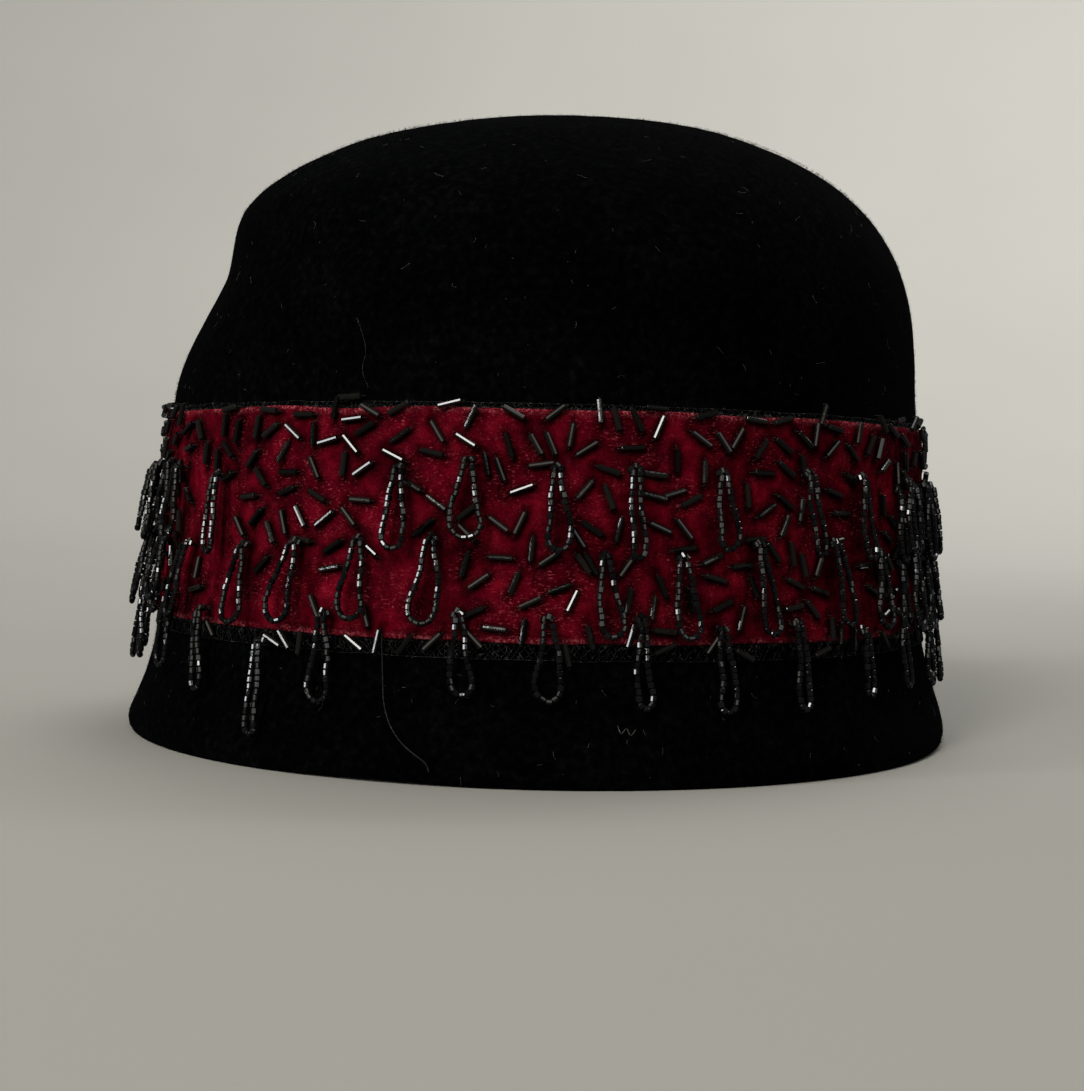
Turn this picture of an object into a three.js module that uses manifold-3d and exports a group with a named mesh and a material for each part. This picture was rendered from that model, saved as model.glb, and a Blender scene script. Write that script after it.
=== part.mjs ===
// Velour felt hat: one blocked felt body (tall rounded crown, dented on its -X side, flaring into a short
// turned-down brim), and round it a band: a strip of black net, a red velvet ribbon, a paved layer of sewn
// bugle beads, and three rows of drop-shaped loops of small seed beads.
// Millimetres, +Z up. The origin is the middle of the rim, on the plane that the rim rests on.
// The hat's front is -Y. Azimuths are degrees from the front, positive towards +X.
import * as THREE from 'three';
import { mergeVertices } from 'three/addons/utils/BufferGeometryUtils.js';
import Module from 'manifold-3d';

const wasm = await Module();
wasm.setup();

// ---------------------------------------------------------------- driving sizes
const FELT_WALL = 2.5;          // thickness of the felt
const RIM_FLAT = 2.2;           // width of the flat cut edge that the hat rests on
const AROUND = 60;              // facets round the hat
const NET = { low: 24.8, high: 75.8, inner: 0.3, outer: 0.7 };       // heights, and distance out from the felt
const RIBBON = { low: 28.2, high: 74.6, inner: 1.0, outer: 1.6 };
const BUGLES = { low: 27.5, high: 75.5, inner: 1.9, outer: 2.9 };
const BAND_LEVELS = [38, 55];   // heights at which the band bends with the felt, between its edges
const BEAD = 1.1;               // thickness of a string of seed beads
const THREAD = { inner: 3.6, outer: 4.2, height: 0.6, longest: 13 };  // the line that a row of loops is sewn along; degrees in one straight
const LOOP_TOP_OUT = 3.9;       // middle of a loop at its stitch, out from the felt
const LOOP_TYPICAL = { length: 16.8, width: 6.2, spacing: 10.6 };    // mm, mm, degrees
const LOOP_SEED = 4177;

// Crown and brim, a row for each section: height, and reach from the Z axis to the left (-X), right (+X), front and back.
const SECTIONS = [
  { z: 0, left: 99.4, right: 99.4, front: 102.4, back: 102.4 },      // rim, lower edge
  { z: 3, left: 100, right: 100, front: 103, back: 103 },            // rim, widest
  { z: 8, left: 98.1, right: 99.0, front: 101.6, back: 101.6 },
  { z: 14, left: 95.9, right: 97.1, front: 99.6, back: 99.6 },
  { z: 24, left: 93.8, right: 94.5, front: 97.2, back: 97.2 },       // under the band's lower edge
  { z: 38, left: 92.3, right: 92.9, front: 95.7, back: 95.7 },
  { z: 55, left: 91.4, right: 92.4, front: 94.8, back: 94.8 },
  { z: 72, left: 91.3, right: 92.0, front: 94.1, back: 94.1 },       // under the band's upper edge
  { z: 82, left: 91.0, right: 91.2, front: 93.5, back: 93.5 },
  { z: 91, left: 90.2, right: 90.7, front: 92.9, back: 92.9 },
  { z: 100, left: 88.8, right: 89.9, front: 91.8, back: 91.8 },
  { z: 108, left: 85.7, right: 88.3, front: 89.2, back: 89.4 },
  { z: 116, left: 82.0, right: 85.4, front: 85.0, back: 85.4 },
  { z: 124, left: 76.8, right: 80.5, front: 78.6, back: 79.4 },
  { z: 131, left: 68.4, right: 73.8, front: 69.8, back: 71.0 },
  { z: 137, left: 57.8, right: 65.0, front: 59.8, back: 61.2 },
  { z: 141, left: 48.6, right: 56.7, front: 50.2, back: 51.6 },
  { z: 143.7, left: 36.6, right: 49.0, front: 41.0, back: 42.2 },
  { z: 145.2, left: 20.8, right: 39.6, front: 30.0, back: 31.0 },
  { z: 145.9, left: -11.4, right: 11.4, front: 0, back: 0 },         // top of the crown
];

// Dents pushed into the crown: where, how far they spread (degrees, mm) and how deep they are.
const FOLDS = [
  { name: 'side dent', azimuth: -90, z: 105, spread: 44, rise: 16.5, depth: 8.5 },
];

// Bead loops of the front, a row for each: row of loops, azimuth and height of the stitch, length, width,
// and how far the lower end leans towards +X.
const FRONT_LOOPS = [
  { row: 1, azimuth: -47.5, top: 60.2, length: 17.1, width: 4.4, lean: 1.3 },
  { row: 1, azimuth: -17.8, top: 62.2, length: 16.7, width: 6.0, lean: 0.1 },
  { row: 1, azimuth: -9.1, top: 63.9, length: 15.9, width: 7.6, lean: 0.0 },
  { row: 1, azimuth: 1.5, top: 62.5, length: 16.4, width: 5.9, lean: 0.7 },
  { row: 1, azimuth: 10.9, top: 62.9, length: 18.0, width: 3.7, lean: 0.6 },
  { row: 1, azimuth: 22.1, top: 62.6, length: 15.8, width: 5.4, lean: 0.7 },
  { row: 1, azimuth: 35.2, top: 63.1, length: 17.4, width: 4.0, lean: 1.9 },
  { row: 2, azimuth: -54.7, top: 44.9, length: 16.8, width: 3.8, lean: -2.0 },
  { row: 2, azimuth: -41.3, top: 45.3, length: 16.8, width: 6.6, lean: -0.3 },
  { row: 2, azimuth: -32.2, top: 46.5, length: 17.0, width: 7.4, lean: -2.4 },
  { row: 2, azimuth: -22.9, top: 47.5, length: 16.4, width: 6.8, lean: 0.1 },
  { row: 2, azimuth: -13.3, top: 48.2, length: 17.4, width: 7.3, lean: -0.9 },
  { row: 2, azimuth: 7.5, top: 45.4, length: 16.3, width: 5.9, lean: 1.4 },
  { row: 2, azimuth: 17.1, top: 45.4, length: 16.4, width: 5.8, lean: 0.7 },
  { row: 2, azimuth: 27.6, top: 48.2, length: 18.6, width: 5.3, lean: 1.8 },
  { row: 2, azimuth: 40.0, top: 48.6, length: 17.6, width: 5.1, lean: 2.6 },
  { row: 3, azimuth: -49.3, top: 30.7, length: 17.6, width: 3.9, lean: 2.2 },
  { row: 3, azimuth: -36.6, top: 25.4, length: 19.6, width: 4.2, lean: 2.0 },
  { row: 3, azimuth: -27.1, top: 32.0, length: 18.0, width: 6.5, lean: 0.3 },
  { row: 3, azimuth: -9.7, top: 33.4, length: 16.4, width: 5.7, lean: 1.4 },
  { row: 3, azimuth: 0.9, top: 32.7, length: 16.3, width: 6.4, lean: 0.4 },
  { row: 3, azimuth: 11.9, top: 33.0, length: 17.8, width: 4.3, lean: 0.6 },
  { row: 3, azimuth: 22.3, top: 31.0, length: 16.9, width: 4.8, lean: 0.5 },
  { row: 3, azimuth: 33.3, top: 31.9, length: 18.0, width: 3.7, lean: 0.6 },
  { row: 3, azimuth: 45.6, top: 29.6, length: 14.0, width: 3.6, lean: 0.8 },
];

// The rest of each row runs on round the hat: from and to azimuth, usual height of the stitch,
// and the middle of a loop at its lower end, out from the felt there.
const LOOP_ROWS = [
  { row: 1, node: 'loops_top', from: 47, to: 302, top: 62.5, outBelow: 5.5 },
  { row: 2, node: 'loops_middle', from: 51, to: 296, top: 46.8, outBelow: 5.5 },
  { row: 3, node: 'loops_bottom', from: 57, to: 300, top: 32.2, outBelow: 2.4 },
];

// ---------------------------------------------------------------- the felt's outer surface
const LAST = SECTIONS.length - 1;

function column(pick, beyond) {
  const c = SECTIONS.map(pick);
  const p = [2 * c[0] - c[1], ...c, beyond(c)];
  return (u) => {
    const i = Math.min(Math.max(Math.floor(u), 0), LAST - 1);
    const t = u - i;
    const [a, b, d, e] = [p[i], p[i + 1], p[i + 2], p[i + 3]];
    return 0.5 * (2 * b + (d - a) * t + (2 * a - 5 * b + 4 * d - e) * t * t + (3 * b - a - 3 * d + e) * t ** 3);
  };
}
// Beyond the top of the crown the profile runs down the other side, so the top is round, not pointed.
const same = (c) => c[LAST - 1];
const opposite = (c) => -c[LAST - 1];
const height = column((s) => s.z, same);
const middleX = column((s) => (s.right - s.left) / 2, same);
const middleY = column((s) => (s.back - s.front) / 2, same);
const halfX = column((s) => (s.right + s.left) / 2, opposite);
const halfY = column((s) => (s.back + s.front) / 2, opposite);

function surface(azimuth, u) {
  const a = THREE.MathUtils.degToRad(azimuth);
  const z = height(u);
  const x = halfX(u) * Math.sin(a);
  const y = -halfY(u) * Math.cos(a);
  let push = 0;
  for (const f of FOLDS) {
    const turn = THREE.MathUtils.euclideanModulo(azimuth - f.azimuth + 180, 360) - 180;
    push += f.depth * Math.exp(-((turn / f.spread) ** 2)) * Math.exp(-(((z - f.z) / f.rise) ** 2));
  }
  const keep = 1 - push / (Math.hypot(x, y) + 1e-9);
  return new THREE.Vector3(middleX(u) + x * keep, middleY(u) + y * keep, z);
}

function outward(azimuth, u) {
  const up = surface(azimuth, u + 1e-3).sub(surface(azimuth, u - 1e-3));
  const round = surface(azimuth + 0.05, u).sub(surface(azimuth - 0.05, u));
  return round.cross(up).normalize();
}

// Place along the profile of a height on the wall.
function along(z) {
  let low = 0;
  let high = LAST - 0.5;
  for (let i = 0; i < 50; i++) {
    const mid = (low + high) / 2;
    if (height(mid) < z) low = mid; else high = mid;
  }
  return (low + high) / 2;
}

// A point off the wall: out from the felt along its normal, from the wall's point at height z.
function off(azimuth, z, out) {
  const u = along(z);
  return surface(azimuth, u).addScaledVector(outward(azimuth, u), out);
}

// ---------------------------------------------------------------- closed solids from rings of points
function ringOf(point) {
  return Array.from({ length: AROUND }, (_, i) => point((i * 360) / AROUND));
}

// Rings in order; a ring of one point is a pole. With closed, the last ring joins the first.
function loft(rings, closed = false) {
  const starts = [];
  const positions = [];
  for (const ring of rings) {
    starts.push(positions.length / 3);
    for (const p of ring) positions.push(p.x, p.y, p.z);
  }
  const index = [];
  const spans = closed ? rings.length : rings.length - 1;
  for (let i = 0; i < spans; i++) {
    const j = (i + 1) % rings.length;
    const n = Math.max(rings[i].length, rings[j].length);
    for (let k = 0; k < n; k++) {
      const next = (k + 1) % n;
      const a = starts[i] + (rings[i].length === 1 ? 0 : k);
      const b = starts[i] + (rings[i].length === 1 ? 0 : next);
      const c = starts[j] + (rings[j].length === 1 ? 0 : next);
      const d = starts[j] + (rings[j].length === 1 ? 0 : k);
      if (a !== b) index.push(a, b, c);
      if (c !== d) index.push(a, c, d);
    }
  }
  const geometry = new THREE.BufferGeometry();
  geometry.setAttribute('position', new THREE.Float32BufferAttribute(positions, 3));
  geometry.setIndex(index);
  return geometry;
}

function feltBody() {
  const outerSteps = [0.45, 1, 2, 3, 4, 5, 6, 7, 8, 9, 10, 11, 12, 13, 14, 15, 16, 17, 18, 18.5];
  const innerSteps = [1, 3, 5, 7, 8, 9, 10, 11, 12, 13, 14, 15, 16, 17, 18];
  const top = surface(0, LAST);
  const rim = ringOf((az) => surface(az, 0));
  const rimInside = ringOf((az) => {
    const n = outward(az, 0.001).setZ(0).normalize();
    return surface(az, 0).addScaledVector(n, -RIM_FLAT);
  });
  const inner = innerSteps.map((u) => ringOf((az) => surface(az, u).addScaledVector(outward(az, u), -FELT_WALL)));
  const outer = outerSteps.map((u) => ringOf((az) => surface(az, u)));
  return loft([
    [top.clone().setZ(top.z - FELT_WALL)], ...inner.reverse(), rimInside, rim, ...outer, [top],
  ]);
}

// A strip wrapped round the felt, between two heights and two distances out from it.
function strip({ low, high, inner, outer }) {
  const levels = [low, ...BAND_LEVELS, high];
  return loft([
    ...[...levels].reverse().map((z) => ringOf((az) => off(az, z, inner))),
    ...levels.map((z) => ringOf((az) => off(az, z, outer))),
  ], true);
}

// ---------------------------------------------------------------- bead loops
function solid(geometry) {
  return new wasm.Manifold(new wasm.Mesh({
    numProp: 3,
    vertProperties: new Float32Array(geometry.attributes.position.array),
    triVerts: new Uint32Array(geometry.index.array),
  }));
}

function geometryOf(manifold) {
  const mesh = manifold.getMesh();
  const geometry = new THREE.BufferGeometry();
  geometry.setAttribute('position', new THREE.BufferAttribute(new Float32Array(mesh.vertProperties), 3));
  geometry.setIndex(new THREE.BufferAttribute(new Uint32Array(mesh.triVerts), 1));
  geometry.computeVertexNormals();
  return geometry;
}

// Half the gap between a drop's two strings, at a share t of its length below the stitch.
const dropHalf = (width, t) => ((width - BEAD) / 2) * Math.sin(Math.PI * t ** 1.55) ** 0.85;

// Drop outline with its open middle, stitched end at the origin, hanging along -Y.
function dropShape(length, width) {
  const reach = length - BEAD / 2;
  const outerAt = [0.36, 0.64, 0.88];
  const innerAt = [0.62, 0.87];
  const side = (at, grow, s) => at.map((t) => new THREE.Vector2(s * (dropHalf(width, t) + grow), -reach * t));
  const half = BEAD / 2;
  const outline = [
    new THREE.Vector2(half * 0.9, half), ...side(outerAt, half, 1), new THREE.Vector2(width * 0.16, -length),
    new THREE.Vector2(-width * 0.16, -length), ...side(outerAt, half, -1).reverse(), new THREE.Vector2(-half * 0.9, half),
  ];
  const shape = new THREE.Shape(outline);
  const hole = [
    new THREE.Vector2(0, -reach * 0.34), ...side(innerAt, -half * 0.8, -1),
    new THREE.Vector2(0, -length + BEAD * 1.15), ...side(innerAt, -half * 0.8, 1).reverse(),
  ];
  shape.holes.push(new THREE.Path(hole));
  return shape;
}

function loopSolid(loop, outBelow) {
  const stitch = off(loop.azimuth, loop.top, LOOP_TOP_OUT);
  const shift = THREE.MathUtils.radToDeg(loop.lean / 96);
  const end = off(loop.azimuth + shift, loop.top - loop.length, outBelow);
  const yAxis = stitch.clone().sub(end).normalize();
  const normal = outward(loop.azimuth, along(loop.top));
  const zAxis = normal.addScaledVector(yAxis, -normal.dot(yAxis)).normalize();
  const xAxis = yAxis.clone().cross(zAxis);
  const geometry = new THREE.ExtrudeGeometry(dropShape(loop.length, loop.width), { depth: BEAD, bevelEnabled: false, steps: 1 });
  geometry.translate(0, 0, -BEAD / 2);
  geometry.applyMatrix4(new THREE.Matrix4().makeBasis(xAxis, yAxis, zAxis).setPosition(stitch));
  geometry.deleteAttribute('normal');
  geometry.deleteAttribute('uv');
  return solid(mergeVertices(geometry, 1e-4));
}

// The sewing line: a flat-sided thread ring through the stitches, straight between neighbours.
function threadRing(loops) {
  const stops = [];
  loops.forEach((loop, i) => {
    const next = loops[(i + 1) % loops.length];
    const gap = THREE.MathUtils.euclideanModulo(next.azimuth - loop.azimuth, 360);
    const steps = Math.ceil(gap / THREAD.longest);
    for (let k = 0; k < steps; k++) {
      stops.push({ azimuth: loop.azimuth + (gap * k) / steps, z: loop.top + ((next.top - loop.top) * k) / steps });
    }
  });
  const line = (out, rise) => stops.map((s) => off(s.azimuth, s.z + rise, out));
  const h = THREAD.height / 2;
  return solid(loft([line(THREAD.inner, h), line(THREAD.inner, -h), line(THREAD.outer, -h), line(THREAD.outer, h)], true));
}

function* shares(seed) {
  let s = seed;
  for (;;) {
    s = (s * 16807) % 2147483647;
    yield s / 2147483647;
  }
}

function allLoops({ row, from, to, top }) {
  const loops = FRONT_LOOPS.filter((l) => l.row === row).map((l) => ({ ...l }));
  const share = shares(LOOP_SEED + row);
  const next = () => share.next().value;
  const count = Math.round((to - from) / LOOP_TYPICAL.spacing);
  for (let i = 0; i <= count; i++) {
    loops.push({
      row,
      azimuth: from + ((to - from) * i) / count + (next() - 0.5) * 3,
      top: top + (next() - 0.5) * 2.4,
      length: LOOP_TYPICAL.length + (next() - 0.5) * 2.2,
      width: LOOP_TYPICAL.width + (next() - 0.5) * 3,
      lean: (next() - 0.5) * 2.4,
    });
  }
  const turn = (l) => THREE.MathUtils.euclideanModulo(l.azimuth, 360);
  return loops.sort((a, b) => turn(a) - turn(b));
}

function loopRow(rowSpec) {
  const loops = allLoops(rowSpec);
  let whole = threadRing(loops);
  for (const loop of loops) whole = whole.add(loopSolid(loop, rowSpec.outBelow));
  return geometryOf(whole);
}

// ---------------------------------------------------------------- the assembly
const felt = new THREE.MeshStandardMaterial({ color: 0x050506, roughness: 0.95, metalness: 0 });
const net = new THREE.MeshStandardMaterial({ color: 0x0b0a0b, roughness: 0.8, metalness: 0 });
const velvet = new THREE.MeshStandardMaterial({ color: 0x4e0a16, roughness: 0.75, metalness: 0 });
const bugle = new THREE.MeshStandardMaterial({ color: 0x121415, roughness: 0.15, metalness: 0 });
const seed = new THREE.MeshStandardMaterial({ color: 0x101213, roughness: 0.12, metalness: 0 });

const hat = new THREE.Group();

function add(name, geometry, material) {
  const mesh = new THREE.Mesh(geometry, material);
  mesh.name = name;
  hat.add(mesh);
}

add('felt_body', feltBody(), felt);
add('net_strip', strip(NET), net);
add('ribbon', strip(RIBBON), velvet);
add('bugle_beads', strip(BUGLES), bugle);
for (const row of LOOP_ROWS) add(row.node, loopRow(row), seed);

export default hat;
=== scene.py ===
import math

import bpy
import numpy as np
from mathutils import Matrix, Vector


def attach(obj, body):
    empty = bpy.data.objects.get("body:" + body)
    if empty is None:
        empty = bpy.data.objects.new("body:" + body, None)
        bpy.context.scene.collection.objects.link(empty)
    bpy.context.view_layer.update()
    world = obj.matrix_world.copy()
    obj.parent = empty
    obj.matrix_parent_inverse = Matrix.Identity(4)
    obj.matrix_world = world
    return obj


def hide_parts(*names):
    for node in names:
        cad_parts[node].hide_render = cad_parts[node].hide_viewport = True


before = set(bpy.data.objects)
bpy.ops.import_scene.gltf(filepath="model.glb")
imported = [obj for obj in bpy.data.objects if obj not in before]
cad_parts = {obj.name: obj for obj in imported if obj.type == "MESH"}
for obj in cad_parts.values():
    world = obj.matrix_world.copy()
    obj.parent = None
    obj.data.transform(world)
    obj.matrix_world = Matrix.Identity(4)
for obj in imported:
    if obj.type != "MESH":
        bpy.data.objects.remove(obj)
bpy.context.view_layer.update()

# Velour felt hat with a beaded velvet band. Lengths in the tables are millimetres and angles degrees;
# meshes are made in millimetres and stored in metres. The hat's front is -Y, azimuths are measured from
# there, positive towards +X, and "out" is the distance from the felt along its normal.
MM = 0.001
scene = bpy.context.scene

# ---------------------------------------------------------------- camera
CAMERA = {"place": (0.0, -0.445, 0.05851), "pitch": 1.781, "yaw": 0.052, "roll": 1.35, "lens": 58.29}


def make_camera():
    data = bpy.data.cameras.new("camera")
    data.sensor_width = 36.0
    data.lens = CAMERA["lens"]
    data.clip_start, data.clip_end = 0.01, 60.0
    pitch, yaw, roll = (math.radians(CAMERA[k]) for k in ("pitch", "yaw", "roll"))
    level = Vector((math.sin(yaw), math.cos(yaw), 0))
    z = Vector((0, 0, 1))
    forward = level * math.cos(pitch) - z * math.sin(pitch)
    up = level * math.sin(pitch) + z * math.cos(pitch)
    right = Vector((math.cos(yaw), -math.sin(yaw), 0))
    turned_right = right * math.cos(roll) + up * math.sin(roll)
    turned_up = up * math.cos(roll) - right * math.sin(roll)
    camera = bpy.data.objects.new("camera", data)
    scene.collection.objects.link(camera)
    axes = Matrix((turned_right, turned_up, -forward)).transposed().to_4x4()
    camera.matrix_world = Matrix.Translation(CAMERA["place"]) @ axes
    scene.camera = camera


make_camera()

# ---------------------------------------------------------------- the felt's outer surface
# height, and reach from the Z axis to the left (-X), right (+X), front and back
SECTIONS = np.array([
    (0, 99.4, 99.4, 102.4, 102.4),
    (3, 100, 100, 103, 103),
    (8, 98.1, 99.0, 101.6, 101.6),
    (14, 95.9, 97.1, 99.6, 99.6),
    (24, 93.8, 94.5, 97.2, 97.2),
    (38, 92.3, 92.9, 95.7, 95.7),
    (55, 91.4, 92.4, 94.8, 94.8),
    (72, 91.3, 92.0, 94.1, 94.1),
    (82, 91.0, 91.2, 93.5, 93.5),
    (91, 90.2, 90.7, 92.9, 92.9),
    (100, 88.8, 89.9, 91.8, 91.8),
    (108, 85.7, 88.3, 89.2, 89.4),
    (116, 82.0, 85.4, 85.0, 85.4),
    (124, 76.8, 80.5, 78.6, 79.4),
    (131, 68.4, 73.8, 69.8, 71.0),
    (137, 57.8, 65.0, 59.8, 61.2),
    (141, 48.6, 56.7, 50.2, 51.6),
    (143.7, 36.6, 49.0, 41.0, 42.2),
    (145.2, 20.8, 39.6, 30.0, 31.0),
    (145.9, -11.4, 11.4, 0, 0),
], float)
DENT = {"azimuth": -90, "z": 105, "spread": 44, "rise": 16.5, "depth": 8.5}
LAST = len(SECTIONS) - 1
FELT_WALL = 2.5
NET = {"low": 24.8, "high": 75.8}
RIBBON = {"low": 28.2, "high": 74.6}


def column(values, beyond):
    p = np.concatenate([[2 * values[0] - values[1]], values, [beyond]])

    def at(u):
        u = np.asarray(u, float)
        i = np.clip(np.floor(u).astype(int), 0, LAST - 1)
        t = u - i
        a, b, d, e = p[i], p[i + 1], p[i + 2], p[i + 3]
        return 0.5 * (2 * b + (d - a) * t + (2 * a - 5 * b + 4 * d - e) * t * t + (3 * b - a - 3 * d + e) * t ** 3)

    return at


S_Z, S_LEFT, S_RIGHT, S_FRONT, S_BACK = SECTIONS.T
height = column(S_Z, S_Z[LAST - 1])
middle_x = column((S_RIGHT - S_LEFT) / 2, ((S_RIGHT - S_LEFT) / 2)[LAST - 1])
middle_y = column((S_BACK - S_FRONT) / 2, ((S_BACK - S_FRONT) / 2)[LAST - 1])
half_x = column((S_RIGHT + S_LEFT) / 2, -((S_RIGHT + S_LEFT) / 2)[LAST - 1])
half_y = column((S_BACK + S_FRONT) / 2, -((S_BACK + S_FRONT) / 2)[LAST - 1])


def surface(azimuth, u):
    azimuth, u = np.broadcast_arrays(np.asarray(azimuth, float), np.asarray(u, float))
    a = np.radians(azimuth)
    z = height(u)
    x = half_x(u) * np.sin(a)
    y = -half_y(u) * np.cos(a)
    turn = (azimuth - DENT["azimuth"] + 180) % 360 - 180
    push = DENT["depth"] * np.exp(-(turn / DENT["spread"]) ** 2) * np.exp(-((z - DENT["z"]) / DENT["rise"]) ** 2)
    keep = 1 - push / (np.hypot(x, y) + 1e-9)
    return np.stack([middle_x(u) + x * keep, middle_y(u) + y * keep, z], -1)


def unit(v):
    return v / np.maximum(np.linalg.norm(v, axis=-1, keepdims=True), 1e-12)


def outward(azimuth, u):
    azimuth, u = np.broadcast_arrays(np.asarray(azimuth, float), np.asarray(u, float))
    u = np.minimum(u, LAST - 0.02)
    up = surface(azimuth, u + 1e-3) - surface(azimuth, u - 1e-3)
    around = surface(azimuth + 0.05, u) - surface(azimuth - 0.05, u)
    return unit(np.cross(around, up))


U_TABLE = np.linspace(0, LAST - 0.3, 4000)
Z_TABLE = height(U_TABLE)


def along(z):
    return np.interp(z, Z_TABLE, U_TABLE)


def off(azimuth, z, out):
    azimuth, z, out = np.broadcast_arrays(*(np.asarray(v, float) for v in (azimuth, z, out)))
    u = along(z)
    return surface(azimuth, u) + outward(azimuth, u) * out[..., None]


def tangents(azimuth, z):
    """Unit vectors at a place on the wall: round towards +azimuth, up along the wall, and out."""
    u = along(z)
    n = outward(azimuth, u)
    around = unit(surface(np.asarray(azimuth) + 0.05, u) - surface(np.asarray(azimuth) - 0.05, u))
    return around, np.cross(n, around), n


# A smooth pattern over azimuth and height, made of a few seeded waves; about -1 to 1.
def waves(seed, azimuth, z, rounds, per_mm, count=9):
    rng = np.random.default_rng(seed)
    total = 0.0
    for _ in range(count):
        k = rng.integers(rounds[0], rounds[1] + 1)
        m = rng.uniform(-per_mm, per_mm)
        total = total + np.sin(np.radians(azimuth) * k + z * m + rng.uniform(0, 2 * math.pi))
    return total / math.sqrt(count / 2) / 1.6


# ---------------------------------------------------------------- meshes
def mesh_object(name, vertices, faces, material, smooth=True, values=None):
    """An object from vertices in millimetres and faces, as one array or several of triangles and quads."""
    groups = faces if isinstance(faces, list) else [faces]
    groups = [np.asarray(f, np.int32) for f in groups if len(f)]
    me = bpy.data.meshes.new(name)
    me.vertices.add(len(vertices))
    me.vertices.foreach_set("co", (np.asarray(vertices, float) * MM).astype(np.float32).ravel())
    corners = np.concatenate([f.ravel() for f in groups])
    sizes = np.concatenate([np.full(len(f), f.shape[1]) for f in groups])
    me.loops.add(len(corners))
    me.loops.foreach_set("vertex_index", corners)
    me.polygons.add(len(sizes))
    me.polygons.foreach_set("loop_start", np.concatenate([[0], np.cumsum(sizes)[:-1]]).astype(np.int32))
    me.polygons.foreach_set("use_smooth", np.full(len(sizes), smooth))
    me.update(calc_edges=True)
    for key, value in (values or {}).items():
        layer = me.attributes.new(key, "FLOAT", "POINT")
        layer.data.foreach_set("value", np.asarray(value, np.float32).ravel())
    me.materials.append(material)
    o = bpy.data.objects.new(name, me)
    scene.collection.objects.link(o)
    return o


def grid_faces(rows, columns, start=0, closed_rows=False):
    """Quads between rings of a closed round strip; ring after ring goes the way that keeps faces pointing out."""
    i = np.arange(rows if closed_rows else rows - 1)[:, None]
    k = np.arange(columns)[None, :]
    j = (i + 1) % rows
    n = (k + 1) % columns
    quads = np.stack([i * columns + k, i * columns + n, j * columns + n, j * columns + k], -1)
    return quads.reshape(-1, 4) + start


def tubes(paths, radii, sides=4):
    """Closed thin tubes, one along each path; all paths have the same number of points."""
    paths = np.asarray(paths, float)
    count, steps, _ = paths.shape
    radii = np.broadcast_to(np.asarray(radii, float), (count, steps)) if np.ndim(radii) < 2 else radii
    ahead = np.gradient(paths, axis=1)
    ahead = unit(ahead)
    helper = np.where(np.abs(ahead[:, :1, 2:]) > 0.8, np.array([1.0, 0, 0]), np.array([0, 0, 1.0]))
    side = unit(np.cross(ahead, np.broadcast_to(helper, ahead.shape)))
    other = np.cross(ahead, side)
    a = np.arange(sides) * 2 * math.pi / sides
    ring = side[:, :, None] * np.cos(a)[None, None, :, None] + other[:, :, None] * np.sin(a)[None, None, :, None]
    points = paths[:, :, None] + ring * radii[:, :, None, None]
    quads = grid_faces(steps, sides)[:, ::-1]
    low = np.arange(sides)
    high = (steps - 1) * sides + np.arange(sides)[::-1]
    fan = lambda c: np.stack([np.full(sides - 2, c[0]), c[1:-1], c[2:]], -1)
    shift = (np.arange(count) * steps * sides)[:, None, None]
    flip = quads[None] + shift
    caps = np.concatenate([fan(low), fan(high)])[None] + shift
    return points.reshape(-1, 3), [flip.reshape(-1, 4)[:, ::-1], caps.reshape(-1, 3)[:, ::-1]]


def join(parts):
    """Several (vertices, faces list) as one."""
    vertices, faces, start = [], [], 0
    for v, groups in parts:
        vertices.append(v)
        faces += [np.asarray(g) + start for g in groups]
        start += len(v)
    by_size = [np.concatenate([f for f in faces if f.shape[1] == n]) for n in (3, 4) if any(f.shape[1] == n for f in faces)]
    return np.concatenate(vertices), by_size


# ---------------------------------------------------------------- materials
def new_material(name):
    m = bpy.data.materials.new(name)
    m.use_nodes = True
    nodes, links = m.node_tree.nodes, m.node_tree.links
    return m, nodes, links, nodes["Principled BSDF"]


def noise(nodes, links, where, scale, detail=3.0, rough=0.55):
    n = nodes.new("ShaderNodeTexNoise")
    n.inputs["Scale"].default_value = scale
    n.inputs["Detail"].default_value = detail
    n.inputs["Roughness"].default_value = rough
    links.new(where, n.inputs["Vector"])
    return n.outputs["Fac"]


def ramp(nodes, links, value, stops):
    r = nodes.new("ShaderNodeValToRGB")
    elements = r.color_ramp.elements
    while len(elements) > len(stops):
        elements.remove(elements[-1])
    while len(elements) < len(stops):
        elements.new(0.5)
    for e, (at, colour) in zip(elements, stops):
        e.position = at
        e.color = (*colour, 1) if len(colour) == 3 else colour
    links.new(value, r.inputs["Fac"])
    return r.outputs["Color"]


def mix(nodes, links, fac, a, b, kind="MIX"):
    n = nodes.new("ShaderNodeMix")
    n.data_type = "RGBA"
    n.blend_type = kind
    links.new(fac, n.inputs["Factor"])
    for value, socket in ((a, n.inputs["A"]), (b, n.inputs["B"])):
        if isinstance(value, tuple):
            socket.default_value = (*value, 1)
        else:
            links.new(value, socket)
    return n.outputs["Result"]


def math_node(nodes, links, kind, a, b=None):
    n = nodes.new("ShaderNodeMath")
    n.operation = kind
    for value, socket in zip((a, b), n.inputs):
        if value is None:
            continue
        if isinstance(value, (int, float)):
            socket.default_value = value
        else:
            links.new(value, socket)
    return n.outputs["Value"]


def attribute(nodes, name):
    n = nodes.new("ShaderNodeAttribute")
    n.attribute_name = name
    return n.outputs["Fac"]


def bump(nodes, links, value, strength, distance, normal=None):
    b = nodes.new("ShaderNodeBump")
    b.inputs["Strength"].default_value = strength
    b.inputs["Distance"].default_value = distance
    links.new(value, b.inputs["Height"])
    if normal is not None:
        links.new(normal, b.inputs["Normal"])
    return b.outputs["Normal"]


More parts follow.
